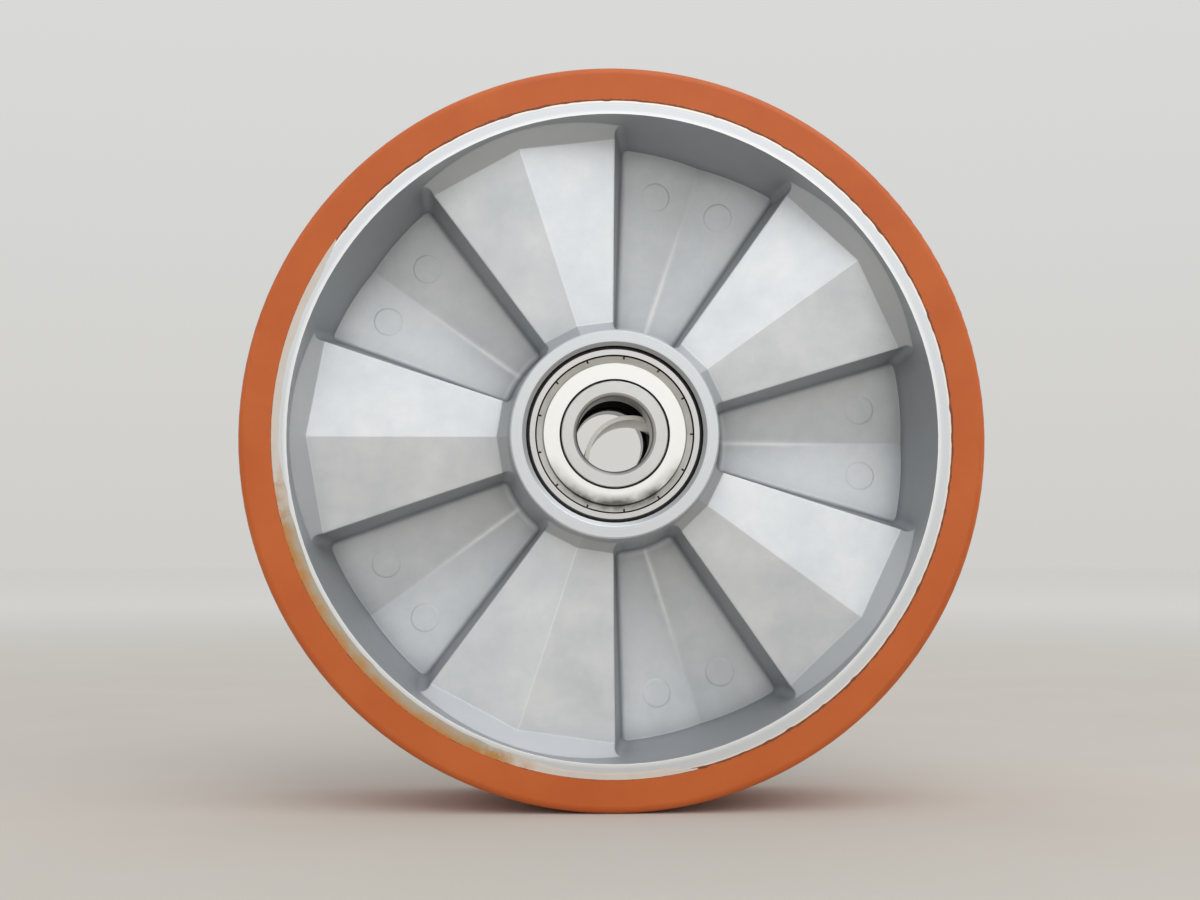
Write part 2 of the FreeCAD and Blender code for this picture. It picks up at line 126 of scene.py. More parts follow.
def axle_distance(tree, point):
    """A socket for how far the point lies from the wheel's axle."""
    flat = add_node(tree, "ShaderNodeVectorMath", {0: point, 1: (1, 0, 1)}, operation="MULTIPLY").outputs[0]
    return add_node(tree, "ShaderNodeVectorMath", {0: flat}, operation="LENGTH").outputs["Value"]


def turn_about_axle(tree, point):
    """A socket for the point's place round the axle, as a share of a turn that starts at -X."""
    flat = add_node(tree, "ShaderNodeMapping", {"Vector": point, "Rotation": (-math.pi / 2, 0, 0)}).outputs[0]
    return add_node(tree, "ShaderNodeTexGradient", {"Vector": flat}, gradient_type="RADIAL").outputs[1]


# Die-cast aluminium: a soft grey metal skin with cloudy patches and a fine grain. The turned faces are
# brighter and smoother, with rings that are drawn coarser than the tool left them so that they show.
cast_aluminium, tree, surface = new_material("die_cast_aluminium", {"Metallic": 0.9})
point = add_node(tree, "ShaderNodeTexCoord").outputs["Object"]
radius = axle_distance(tree, point)
turn = turn_about_axle(tree, point)
along = add_node(tree, "ShaderNodeSeparateXYZ", {0: point}).outputs["Y"]
depth = add_node(tree, "ShaderNodeMath", {0: along}, operation="ABSOLUTE").outputs[0]
past_rim_edge = add_node(tree, "ShaderNodeMath", {
    0: depth, 1: rim_edge_y - rim_edge_margin}, operation="GREATER_THAN").outputs[0]
near_rim = add_node(tree, "ShaderNodeMath", {
    0: radius, 1: rim_radius - rim_zone}, operation="GREATER_THAN").outputs[0]
on_rim_edge = add_node(tree, "ShaderNodeMath", {
    0: past_rim_edge, 1: near_rim}, operation="MULTIPLY").outputs[0]
on_hub_face = add_node(tree, "ShaderNodeMath", {
    0: depth, 1: hub_face_y - hub_face_margin}, operation="GREATER_THAN").outputs[0]
in_seat = add_node(tree, "ShaderNodeMath", {0: radius, 1: seat_radius}, operation="LESS_THAN").outputs[0]
on_hub = add_node(tree, "ShaderNodeMath", {0: on_hub_face, 1: in_seat}, operation="MAXIMUM").outputs[0]
turned_face = add_node(tree, "ShaderNodeMath", {0: on_rim_edge, 1: on_hub}, operation="MAXIMUM").outputs[0]
patches = add_node(tree, "ShaderNodeTexNoise", {
    "Vector": point, "Scale": 1 / skin_patch, "Detail": 5, "Roughness": 0.6}).outputs[0]
grain = add_node(tree, "ShaderNodeTexNoise", {
    "Vector": point, "Scale": 1 / skin_grain, "Detail": 2}).outputs[0]
rings = add_node(tree, "ShaderNodeTexNoise", {
    "W": radius, "Scale": 1 / lathe_pitch, "Detail": 1}, noise_dimensions="1D").outputs[0]
# the web's ridges and valleys lie on every tenth of a turn: a ridge is rubbed bright along a thin line,
# partly wear and partly a painted highlight, and a valley has a painted highlight, a soft light smear that
# fades away from the hub. The arc is in turns times radius, so half of a width is that width over 4 pi.
off_fold = add_node(tree, "ShaderNodeMath", {0: turn, 1: 0.5 / web_folds}, operation="PINGPONG").outputs[0]
arc = add_node(tree, "ShaderNodeMath", {0: off_fold, 1: radius}, operation="MULTIPLY").outputs[0]
on_ridge = add_node(tree, "ShaderNodeMapRange", {
    "Value": arc, "From Max": ridge_line_width / (4 * math.pi), "To Min": 0.6, "To Max": 0}).outputs[0]
in_valley = add_node(tree, "ShaderNodeMapRange", {
    "Value": arc, "From Max": highlight_band_width / (4 * math.pi), "To Min": 0.55, "To Max": 0},
    interpolation_type="SMOOTHSTEP").outputs[0]
from_hub = add_node(tree, "ShaderNodeMapRange", {
    "Value": radius, "From Min": highlight_fade_from, "From Max": highlight_fade_to,
    "To Min": 1, "To Max": 0}).outputs[0]
valley_highlight = add_node(tree, "ShaderNodeMath", {0: in_valley, 1: from_hub}, operation="MULTIPLY").outputs[0]
on_raised = add_node(tree, "ShaderNodeMath", {
    0: depth, 1: web_half_height}, operation="GREATER_THAN").outputs[0]
wear_and_highlight = add_node(tree, "ShaderNodeMix", {0: on_raised, 2: valley_highlight, 3: on_ridge}).outputs[0]
off_rim_wall = add_node(tree, "ShaderNodeMapRange", {
    "Value": radius, "From Min": wear_highlight_end - wear_highlight_fade, "From Max": wear_highlight_end,
    "To Min": 1, "To Max": 0}).outputs[0]
wear_and_highlight = add_node(tree, "ShaderNodeMath", {0: wear_and_highlight, 1: off_rim_wall}, operation="MULTIPLY").outputs[0]
cloud = add_node(tree, "ShaderNodeMapRange", {"Value": patches, "From Min": 0.3, "From Max": 0.7}).outputs[0]
patchiness = add_node(tree, "ShaderNodeMapRange", {"Value": cloud, "To Min": 0.5}).outputs[0]
wear_and_highlight = add_node(tree, "ShaderNodeMath", {0: wear_and_highlight, 1: patchiness}, operation="MULTIPLY").outputs[0]
skin = add_node(tree, "ShaderNodeMix", {
    0: cloud, 6: linear("#D8DCE0"), 7: linear("#EBEDEF")}, data_type="RGBA").outputs[2]
# the ridges and valleys are painted brighter: wear and painted highlight
skin = add_node(tree, "ShaderNodeMix", {
    0: wear_and_highlight, 6: skin, 7: linear("#FFFFFF")}, data_type="RGBA").outputs[2]
# walls along the die's draw are painted darker, as painted shade
facing = add_node(tree, "ShaderNodeNewGeometry").outputs["Normal"]
facing = add_node(tree, "ShaderNodeSeparateXYZ", {0: facing}).outputs["Y"]
facing = add_node(tree, "ShaderNodeMath", {0: facing}, operation="ABSOLUTE").outputs[0]
painted_wall_shade = add_node(tree, "ShaderNodeMapRange", {
    "Value": facing, "From Min": 0.58, "From Max": 0.95, "To Min": 1, "To Max": 0}).outputs[0]
skin = add_node(tree, "ShaderNodeMix", {
    0: painted_wall_shade, 6: skin, 7: linear("#B7BABD")}, data_type="RGBA").outputs[2]
# the corners and feet of the pockets are painted darker where ambient occlusion finds them, as painted shade
closeness = add_node(tree, "ShaderNodeAmbientOcclusion", {"Distance": corner_reach}, samples=6).outputs["AO"]
painted_corner_shade = add_node(tree, "ShaderNodeMapRange", {
    "Value": closeness, "From Min": 0.35, "From Max": 0.9, "To Min": 0.55, "To Max": 0}).outputs[0]
skin = add_node(tree, "ShaderNodeMix", {0: painted_corner_shade, 6: skin, 7: linear("#84888C")}, data_type="RGBA").outputs[2]
bright = add_node(tree, "ShaderNodeMix", {
    0: rings, 6: linear("#D8DCE1"), 7: linear("#E4E7EA")}, data_type="RGBA").outputs[2]
# the rim's edge is painted white along its inside, a painted highlight of its inner corner
painted_inner_glint = add_node(tree, "ShaderNodeMapRange", {
    "Value": radius, "From Min": rim_edge_inside, "From Max": rim_edge_inside + inner_glint_width,
    "To Min": 0.9, "To Max": 0}).outputs[0]
painted_inner_glint = add_node(tree, "ShaderNodeMath", {
    0: painted_inner_glint, 1: near_rim}, operation="MULTIPLY").outputs[0]
bright = add_node(tree, "ShaderNodeMix", {
    0: painted_inner_glint, 6: bright, 7: linear("#FFFFFF")}, data_type="RGBA").outputs[2]
# the rim's edge is creamy white along the tyre
along_tyre = add_node(tree, "ShaderNodeMapRange", {
    "Value": radius, "From Min": rim_radius - creamy_edge_width, "From Max": rim_radius - 0.5 * creamy_edge_width,
    "To Max": 0.85}).outputs[0]
bright = add_node(tree, "ShaderNodeMix", {
    0: along_tyre, 6: bright, 7: linear("#FFF1E4")}, data_type="RGBA").outputs[2]
colour = add_node(tree, "ShaderNodeMix", {0: turned_face, 6: skin, 7: bright}, data_type="RGBA").outputs[2]
# the lead-in is painted darker, as painted shade; oil and dirt stay in the joint round the bearing; and
# grease and painted shade darken the cavity behind it
painted_lead_in_shade = add_node(tree, "ShaderNodeMapRange", {
    "Value": radius, "From Min": lead_in_radius - lead_in_blend, "From Max": lead_in_radius,
    "To Min": 0.65, "To Max": 0}).outputs[0]
colour = add_node(tree, "ShaderNodeMix", {
    0: painted_lead_in_shade, 6: colour, 7: linear("#7B7D7F")}, data_type="RGBA").outputs[2]
in_joint = add_node(tree, "ShaderNodeMapRange", {
    "Value": radius, "From Min": joint_radius, "From Max": joint_radius + joint_blend,
    "To Min": 1, "To Max": 0}).outputs[0]
beside_ring = add_node(tree, "ShaderNodeMath", {0: depth, 1: ring_face_y}, operation="LESS_THAN").outputs[0]
in_joint = add_node(tree, "ShaderNodeMath", {0: in_joint, 1: beside_ring}, operation="MULTIPLY").outputs[0]
colour = add_node(tree, "ShaderNodeMix", {
    0: in_joint, 6: colour, 7: linear("#363637")}, data_type="RGBA").outputs[2]
# grease and painted shade darken the cavity
in_cavity = add_node(tree, "ShaderNodeMath", {0: radius, 1: cavity_radius}, operation="LESS_THAN").outputs[0]
colour = add_node(tree, "ShaderNodeMix", {
    0: in_cavity, 6: colour, 7: linear("#4C4A48")}, data_type="RGBA").outputs[2]
skin_roughness = add_node(tree, "ShaderNodeMapRange", {
    "Value": patches, "From Min": 0.3, "From Max": 0.7, "To Min": 0.55, "To Max": 0.63}).outputs[0]
skin_roughness = add_node(tree, "ShaderNodeMix", {0: wear_and_highlight, 2: skin_roughness, 3: 0.3}).outputs[0]
roughness = add_node(tree, "ShaderNodeMix", {0: turned_face, 2: skin_roughness, 3: 0.34}).outputs[0]
height = add_node(tree, "ShaderNodeMix", {0: turned_face, 2: grain, 3: rings}).outputs[0]
rounding = add_node(tree, "ShaderNodeMix", {
    0: turned_face, 2: cast_edge_rounding, 3: turned_edge_rounding}).outputs[0]
rounded = add_node(tree, "ShaderNodeBevel", {"Radius": rounding}, samples=6).outputs[0]
normal = add_node(tree, "ShaderNodeBump", {
    "Height": height, "Strength": 0.25, "Distance": skin_relief, "Normal": rounded}).outputs[0]
tree.links.new(colour, surface.inputs["Base Color"])
tree.links.new(roughness, surface.inputs["Roughness"])
tree.links.new(normal, surface.inputs["Normal"])
nodes["wheel_core"].material_slots[0].material = cast_aluminium


# Ejector marks: round, flat spots where the pins pushed the casting out of the die, two on each sunk floor.
# They are the same metal and skin, and stand a little proud of the floor, on a foot that spreads under it.
mark_values = {
    "Mark circle radius": 72.3 * mm,
    "Turn from valley": math.radians(7.5),
    "Mark diameter": 7.7 * mm,
    "Mark height": 0.09 * mm,
    "Mark root": 1.2 * mm,
    "Mark foot": 3.6 * mm,
}
mark_sides = 48
marks_on_pocket = 2
ray_start_y = 2 * hub_face_y
mark_tree = bpy.data.node_groups.new("ejector_marks", "GeometryNodeTree")
mark_tree.interface.new_socket("Core", in_out="INPUT", socket_type="NodeSocketObject")
for name in mark_values:
    mark_tree.interface.new_socket(name, in_out="INPUT", socket_type="NodeSocketFloat")
mark_tree.interface.new_socket("Marks", in_out="OUTPUT", socket_type="NodeSocketGeometry")
given = add_node(mark_tree, "NodeGroupInput").outputs
number = add_node(mark_tree, "GeometryNodeInputIndex").outputs[0]
pocket = add_node(mark_tree, "ShaderNodeMath", {0: number, 1: marks_on_pocket}, operation="DIVIDE").outputs[0]
pocket = add_node(mark_tree, "ShaderNodeMath", {0: pocket}, operation="FLOOR").outputs[0]
# sides of a valley and faces of the wheel go by turns: -1 and 1
side = add_node(mark_tree, "ShaderNodeMath", {0: number, 1: 2}, operation="MODULO").outputs[0]
side = add_node(mark_tree, "ShaderNodeMath", {0: side, 1: 2, 2: -1}, operation="MULTIPLY_ADD").outputs[0]
face = add_node(mark_tree, "ShaderNodeMath", {0: pocket, 1: 2}, operation="MODULO").outputs[0]
face = add_node(mark_tree, "ShaderNodeMath", {0: face, 1: 2, 2: -1}, operation="MULTIPLY_ADD").outputs[0]
aside = add_node(mark_tree, "ShaderNodeMath", {
    0: side, 1: given["Turn from valley"]}, operation="MULTIPLY").outputs[0]
bearing = add_node(mark_tree, "ShaderNodeMath", {
    0: pocket, 1: 2 * math.pi / web_folds, 2: aside}, operation="MULTIPLY_ADD").outputs[0]
reach = given["Mark circle radius"]
cosine = add_node(mark_tree, "ShaderNodeMath", {0: bearing}, operation="COSINE").outputs[0]
sine = add_node(mark_tree, "ShaderNodeMath", {0: bearing}, operation="SINE").outputs[0]
mark_x = add_node(mark_tree, "ShaderNodeMath", {0: reach, 1: cosine}, operation="MULTIPLY").outputs[0]
mark_z = add_node(mark_tree, "ShaderNodeMath", {0: reach, 1: sine}, operation="MULTIPLY").outputs[0]
mark_y = add_node(mark_tree, "ShaderNodeMath", {0: face, 1: ray_start_y}, operation="MULTIPLY").outputs[0]
start = add_node(mark_tree, "ShaderNodeCombineXYZ", {"X": mark_x, "Y": mark_y, "Z": mark_z}).outputs[0]
inwards = add_node(mark_tree, "ShaderNodeMath", {0: face, 1: -1}, operation="MULTIPLY").outputs[0]
heading = add_node(mark_tree, "ShaderNodeCombineXYZ", {"Y": inwards}).outputs[0]
core_mesh = add_node(mark_tree, "GeometryNodeObjectInfo", {"Object": given["Core"]}).outputs["Geometry"]
floor_hit = add_node(mark_tree, "GeometryNodeRaycast", {
    "Target Geometry": core_mesh, "Source Position": start, "Ray Direction": heading,
    "Ray Length": 2 * ray_start_y}).outputs
places = add_node(mark_tree, "GeometryNodePoints", {
    "Count": web_folds * marks_on_pocket, "Position": start}).outputs[0]
places = add_node(mark_tree, "GeometryNodeSetPosition", {
    "Geometry": places, "Position": floor_hit["Hit Position"]}).outputs[0]
facing = add_node(mark_tree, "FunctionNodeAlignRotationToVector", {
    "Vector": floor_hit["Hit Normal"]}, axis="Z").outputs[0]
mark_radius = add_node(mark_tree, "ShaderNodeMath", {
    0: given["Mark diameter"], 1: 0.5}, operation="MULTIPLY").outputs[0]
rise, root = given["Mark height"], given["Mark root"]
mark_depth = add_node(mark_tree, "ShaderNodeMath", {0: rise, 1: root}, operation="ADD").outputs[0]
foot_radius = add_node(mark_tree, "ShaderNodeMath", {
    0: mark_radius, 1: given["Mark foot"]}, operation="ADD").outputs[0]
disc = add_node(mark_tree, "GeometryNodeMeshCone", {
    "Vertices": mark_sides, "Radius Top": mark_radius, "Radius Bottom": foot_radius,
    "Depth": mark_depth}).outputs["Mesh"]
sink = add_node(mark_tree, "ShaderNodeMath", {0: root, 1: -1}, operation="MULTIPLY").outputs[0]
sink = add_node(mark_tree, "ShaderNodeCombineXYZ", {"Z": sink}).outputs[0]
spot = add_node(mark_tree, "GeometryNodeTransform", {"Geometry": disc, "Translation": sink}).outputs[0]
spots = add_node(mark_tree, "GeometryNodeInstanceOnPoints", {
    "Points": places, "Instance": spot, "Rotation": facing}).outputs[0]
settled = add_node(mark_tree, "GeometryNodeRealizeInstances", {0: spots}).outputs[0]
finished = add_node(mark_tree, "GeometryNodeSetMaterial", {
    "Geometry": settled, "Material": cast_aluminium}).outputs[0]
add_node(mark_tree, "NodeGroupOutput", {"Marks": finished})


def piece_from(tree, name, values):
    """A plain mesh, as a piece of that name, from what a Geometry Nodes tree makes of the values."""
    maker = bpy.data.objects.new(f"{name}_maker", bpy.data.meshes.new(name))
    scene.collection.objects.link(maker)
    modifier = maker.modifiers.new("maker", "NODES")
    modifier.node_group = tree
    for item in tree.interface.items_tree:
        if item.in_out == "INPUT":
            modifier[item.identifier] = values[item.name]
    evaluated = maker.evaluated_get(bpy.context.evaluated_depsgraph_get())
    piece = bpy.data.objects.new(name, bpy.data.meshes.new_from_object(evaluated))
    bpy.data.objects.remove(maker)
    scene.collection.objects.link(piece)
    return piece


ejector_marks = piece_from(mark_tree, "ejector_marks", {"Core": nodes["wheel_core"], **mark_values})
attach(ejector_marks, "wheel")


# Tyre: a solid tread of orange polyurethane, poured round the rim in a mould and turned to size when cured.
# It is satin and a little cloudy, and the ragged line where it was trimmed off the rim is painted dark, as
# painted shade.
cloud_size = 25 * mm
speck_size = 0.9 * mm
tread_pitch = 0.8 * mm
tread_relief = 0.05 * mm
trim_line = 0.3 * mm
trim_wobble = 2.5 * mm

polyurethane, tree, surface = new_material("orange_cast_polyurethane", {"IOR": 1.5})
point = add_node(tree, "ShaderNodeTexCoord").outputs["Object"]
radius = axle_distance(tree, point)
along = add_node(tree, "ShaderNodeSeparateXYZ", {0: point}).outputs["Y"]
clouds = add_node(tree, "ShaderNodeTexNoise", {
    "Vector": point, "Scale": 1 / cloud_size, "Detail": 4, "Roughness": 0.6}).outputs[0]
specks = add_node(tree, "ShaderNodeTexNoise", {
    "Vector": point, "Scale": 1 / speck_size, "Detail": 3}).outputs[0]
wobble = add_node(tree, "ShaderNodeTexNoise", {
    "Vector": point, "Scale": 1 / trim_wobble, "Detail": 3, "Roughness": 0.7}).outputs[0]
trim_reach = add_node(tree, "ShaderNodeMapRange", {
    "Value": wobble, "From Min": 0.35, "From Max": 0.7,
    "To Min": rim_radius + 0.5 * trim_line, "To Max": rim_radius + 2 * trim_line}).outputs[0]
# the trim line is painted dark, as painted shade along the rim
trim_shade = add_node(tree, "ShaderNodeMath", {0: radius, 1: trim_reach}, operation="LESS_THAN").outputs[0]
cloud = add_node(tree, "ShaderNodeMapRange", {"Value": clouds, "From Min": 0.3, "From Max": 0.7}).outputs[0]
body_colour = add_node(tree, "ShaderNodeMix", {
    0: cloud, 6: linear("#C25A1A"), 7: linear("#CC6526")}, data_type="RGBA").outputs[2]
colour = add_node(tree, "ShaderNodeMix", {
    0: trim_shade, 6: body_colour, 7: linear("#7A4328")}, data_type="RGBA").outputs[2]
roughness = add_node(tree, "ShaderNodeMapRange", {
    "Value": specks, "From Min": 0.3, "From Max": 0.7, "To Min": 0.42, "To Max": 0.52}).outputs[0]
# the tool's path winds across the tread and in towards the rim on both sides, drawn coarse so that it shows
path = add_node(tree, "ShaderNodeMath", {0: along, 1: radius}, operation="ADD").outputs[0]
tool_lines = add_node(tree, "ShaderNodeTexNoise", {
    "W": path, "Scale": 1 / tread_pitch, "Detail": 1}, noise_dimensions="1D").outputs[0]
height = add_node(tree, "ShaderNodeMix", {0: 0.6, 2: specks, 3: tool_lines}).outputs[0]
normal = add_node(tree, "ShaderNodeBump", {
    "Height": height, "Strength": 0.3, "Distance": tread_relief}).outputs[0]
tree.links.new(colour, surface.inputs["Base Color"])
tree.links.new(roughness, surface.inputs["Roughness"])
tree.links.new(normal, surface.inputs["Normal"])
nodes["tyre"].material_slots[0].material = polyurethane


# Ragged edge: when the tyre was poured, a little polyurethane ran over the rim's turned edges on both faces.
# Most of it was trimmed off, and what is left is a thin ragged line along the tyre, painted dark as shade by
# the tyre's material.
strip_tuck = 0.3 * mm
strip_slope_share = 0.4
ragged_least = 0.12 * mm
ragged_swell = 0.9 * mm
ragged_bump = 3 * mm
ragged_height = 0.03 * mm
ragged_steps = 1440


def rim_strip(name, face, inner_line, height, closed):
    """A thin strip on the rim's edge, from just under the tyre in to a line of bearings and reaches."""
    shell = bmesh.new()
    sections = []
    for bearing, reach in inner_line:
        inner = rim_radius - reach
        outer = rim_radius + strip_tuck
        outline = [
            (inner, 0),
            (inner + strip_slope_share * (rim_radius - inner), height),
            (outer, height),
            (outer, -strip_tuck),
            (inner, -strip_tuck),
        ]
        sections.append([
            shell.verts.new((r * math.cos(bearing), face * (rim_edge_y + rise), r * math.sin(bearing)))
            for r, rise in outline])
    pairs = list(zip(sections, sections[1:]))
    if closed:
        pairs.append((sections[-1], sections[0]))
    else:
        shell.faces.new(sections[0])
        shell.faces.new(sections[-1])
    for near, far in pairs:
        for corner in range(len(near)):
            following = (corner + 1) % len(near)
            shell.faces.new((near[corner], near[following], far[following], far[corner]))
    bmesh.ops.recalc_face_normals(shell, faces=shell.faces)
    mesh = bpy.data.meshes.new(name)
    shell.to_mesh(mesh)
    shell.free()
    piece = bpy.data.objects.new(name, mesh)
    scene.collection.objects.link(piece)
    return piece


def ragged(bearing, spacing, seed):
    """A smooth random value from 0 to 1 along the rim, with bumps about as far apart as the spacing."""
    place = Vector((math.cos(bearing), math.sin(bearing), 0)) * rim_radius / spacing
    return 0.5 + 0.5 * noise.noise(place + Vector((0, 0, seed)))


ragged_bearings = [2 * math.pi * step / ragged_steps for step in range(ragged_steps)]
for end, face in (("front", -1), ("rear", 1)):
    ragged_line = [
        (bearing, ragged_least + ragged_swell * max(0, ragged(bearing, ragged_bump, face) - 0.5))
        for bearing in ragged_bearings]
    ragged_edge = rim_strip(f"{end}_ragged_edge", face, ragged_line, ragged_height, True)
    ragged_edge.data.materials.append(polyurethane)
    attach(ragged_edge, "wheel")


# Overspill film: a thin skin of the same polyurethane that was left on part of the rim's front edge. It is
# amber and widest along a stretch of its run, and a narrower, pale residue on both sides of that.
film_from, film_to = math.radians(145), math.radians(284)
film_steps = 480
film_end_share = 0.04
film_width = 3.1 * mm
residue_width = 1.9 * mm
film_least = 0.02 * mm
film_height = 0.05 * mm
film_bump = 6 * mm
film_wobble_share = 0.3
film_seed = 7
film_pool = 4 * mm
amber_middle = math.radians(221.04)
amber_half_run = math.radians(30.96)
amber_taper = math.radians(7.2)
amber_fray = math.radians(10.8)
amber_blend = math.radians(4.32)


def film_reach(bearing):
    """How far the film reaches in from the tyre: most along the amber, and next to nothing at its ends."""
    share = (bearing - film_from) / (film_to - film_from)
    swell = min(1, share / film_end_share, (1 - share) / film_end_share)
    off_middle = abs(bearing - amber_middle)
    spread = min(1, max(0, (amber_half_run + amber_taper - off_middle) / amber_taper))
    width = residue_width + (film_width - residue_width) * spread
    wobble = 1 - film_wobble_share + film_wobble_share * ragged(bearing, film_bump, film_seed)
    return width * swell * wobble + film_least


# Thin polyurethane: smooth, clear amber along the tyre, where it is thick, and greyer towards its inner edge.
# The residue is too thin to show amber. Angles become shares of a turn, as turn_about_axle gives them.
thin_polyurethane, tree, surface = new_material("thin_polyurethane_film", {"IOR": 1.5, "Roughness": 0.35})
full_turn = 2 * math.pi
point = add_node(tree, "ShaderNodeTexCoord").outputs["Object"]
pools = add_node(tree, "ShaderNodeTexNoise", {
    "Vector": point, "Scale": 1 / film_pool, "Detail": 4, "Roughness": 0.6}).outputs[0]
pool = add_node(tree, "ShaderNodeMapRange", {
    "Value": pools, "From Min": 0.35, "From Max": 0.65, "To Min": -0.3, "To Max": 0.3}).outputs[0]
radius = axle_distance(tree, point)
by_tyre = add_node(tree, "ShaderNodeMapRange", {
    "Value": radius, "From Min": rim_radius - 0.7 * film_width, "From Max": rim_radius}).outputs[0]
thick = add_node(tree, "ShaderNodeMath", {0: by_tyre, 1: pool}, operation="ADD", use_clamp=True).outputs[0]
amber = add_node(tree, "ShaderNodeMix", {
    0: thick, 6: linear("#B3A996"), 7: linear("#C18848")}, data_type="RGBA").outputs[2]
turn = turn_about_axle(tree, point)
off_middle = add_node(tree, "ShaderNodeMath", {
    0: turn, 1: amber_middle / full_turn - 0.5}, operation="SUBTRACT").outputs[0]
off_middle = add_node(tree, "ShaderNodeMath", {0: off_middle}, operation="ABSOLUTE").outputs[0]
off_middle = add_node(tree, "ShaderNodeMath", {
    0: pool, 1: -amber_fray / full_turn, 2: off_middle}, operation="MULTIPLY_ADD").outputs[0]
spent = add_node(tree, "ShaderNodeMapRange", {
    "Value": off_middle, "From Min": (amber_half_run - amber_blend) / full_turn,
    "From Max": (amber_half_run + amber_blend) / full_turn}).outputs[0]
residue = add_node(tree, "ShaderNodeMix", {
    0: pools, 6: linear("#CFC5BB"), 7: linear("#E0D6CC")}, data_type="RGBA").outputs[2]
colour = add_node(tree, "ShaderNodeMix", {0: spent, 6: amber, 7: residue}, data_type="RGBA").outputs[2]
tree.links.new(colour, surface.inputs["Base Color"])
film_bearings = [film_from + (film_to - film_from) * step / film_steps for step in range(film_steps + 1)]
film_line = [(bearing, film_reach(bearing)) for bearing in film_bearings]
film = rim_strip("overspill_film", -1, film_line, film_height, False)
film.data.materials.append(thin_polyurethane)
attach(film, "wheel")


# Bearing rings: hardened chrome steel, ground bright all over. The outer rings are pressed into the hub's
# seats, and the inner rings sit on the axle. The grinding lines run round the ring, drawn coarse so that they
# show, and grease blackens the shields' grooves. The faces towards the cavity are blackened by grease and by
# painted shade, and the bore's edge is darkened as painted shade.
grinding_pitch = 0.2 * mm
grinding_relief = 0.03 * mm
stain_size = 5 * mm
dark_rim_from, dark_rim_to = joint_radius - 0.2 * mm, joint_radius - 0.05 * mm
bore_radius = 10 * mm
dark_bore_to, bore_shade_end = bore_radius + 0.2 * mm, bore_radius + 0.6 * mm
groove_radius = 20.6 * mm
groove_half_width = 1.2 * mm
groove_lip = 0.3 * mm
grease_shade_depth = 0.6 * mm
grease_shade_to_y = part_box("rear_inner_ring")[0].y + grease_shade_depth
bearing_steel, tree, surface = new_material("ground_bearing_steel", {"Metallic": 1})
point = add_node(tree, "ShaderNodeTexCoord").outputs["Object"]
radius = axle_distance(tree, point)
lines = add_node(tree, "ShaderNodeTexNoise", {
    "W": radius, "Scale": 1 / grinding_pitch, "Detail": 2}, noise_dimensions="1D").outputs[0]
stains = add_node(tree, "ShaderNodeTexNoise", {
    "Vector": point, "Scale": 1 / stain_size, "Detail": 4}).outputs[0]
colour = add_node(tree, "ShaderNodeMix", {
    0: stains, 6: linear("#D4D4D3"), 7: linear("#E0E0DF")}, data_type="RGBA").outputs[2]
in_joint = add_node(tree, "ShaderNodeMapRange", {
    "Value": radius, "From Min": dark_rim_from, "From Max": dark_rim_to}).outputs[0]
colour = add_node(tree, "ShaderNodeMix", {
    0: in_joint, 6: colour, 7: linear("#363637")}, data_type="RGBA").outputs[2]
# the bore's edge is painted darker, as painted shade where its chamfer turns
painted_bore_shade = add_node(tree, "ShaderNodeMapRange", {
    "Value": radius, "From Min": dark_bore_to, "From Max": bore_shade_end,
    "To Min": 1, "To Max": 0}).outputs[0]
colour = add_node(tree, "ShaderNodeMix", {
    0: painted_bore_shade, 6: colour, 7: linear("#7E7D7A")}, data_type="RGBA").outputs[2]
along = add_node(tree, "ShaderNodeSeparateXYZ", {0: point}).outputs["Y"]
depth = add_node(tree, "ShaderNodeMath", {0: along}, operation="ABSOLUTE").outputs[0]
past_lip = add_node(tree, "ShaderNodeMath", {
    0: depth, 1: ring_face_y - groove_lip}, operation="LESS_THAN").outputs[0]
at_groove = add_node(tree, "ShaderNodeMath", {
    0: radius, 1: groove_radius, 2: groove_half_width}, operation="COMPARE").outputs[0]
in_groove = add_node(tree, "ShaderNodeMath", {0: past_lip, 1: at_groove}, operation="MULTIPLY").outputs[0]
# grease blackens the grooves; grease and painted shade blacken the faces towards the cavity
grease_and_shade = add_node(tree, "ShaderNodeMath", {0: depth, 1: grease_shade_to_y}, operation="LESS_THAN").outputs[0]
grease_and_shade = add_node(tree, "ShaderNodeMath", {0: grease_and_shade, 1: in_groove}, operation="MAXIMUM").outputs[0]
colour = add_node(tree, "ShaderNodeMix", {
    0: grease_and_shade, 6: colour, 7: linear("#403F3C")}, data_type="RGBA").outputs[2]
roughness = add_node(tree, "ShaderNodeMapRange", {"Value": lines, "To Min": 0.24, "To Max": 0.36}).outputs[0]
normal = add_node(tree, "ShaderNodeBump", {
    "Height": lines, "Strength": 0.15, "Distance": grinding_relief}).outputs[0]
tree.links.new(colour, surface.inputs["Base Color"])
tree.links.new(roughness, surface.inputs["Roughness"])
tree.links.new(normal, surface.inputs["Normal"])


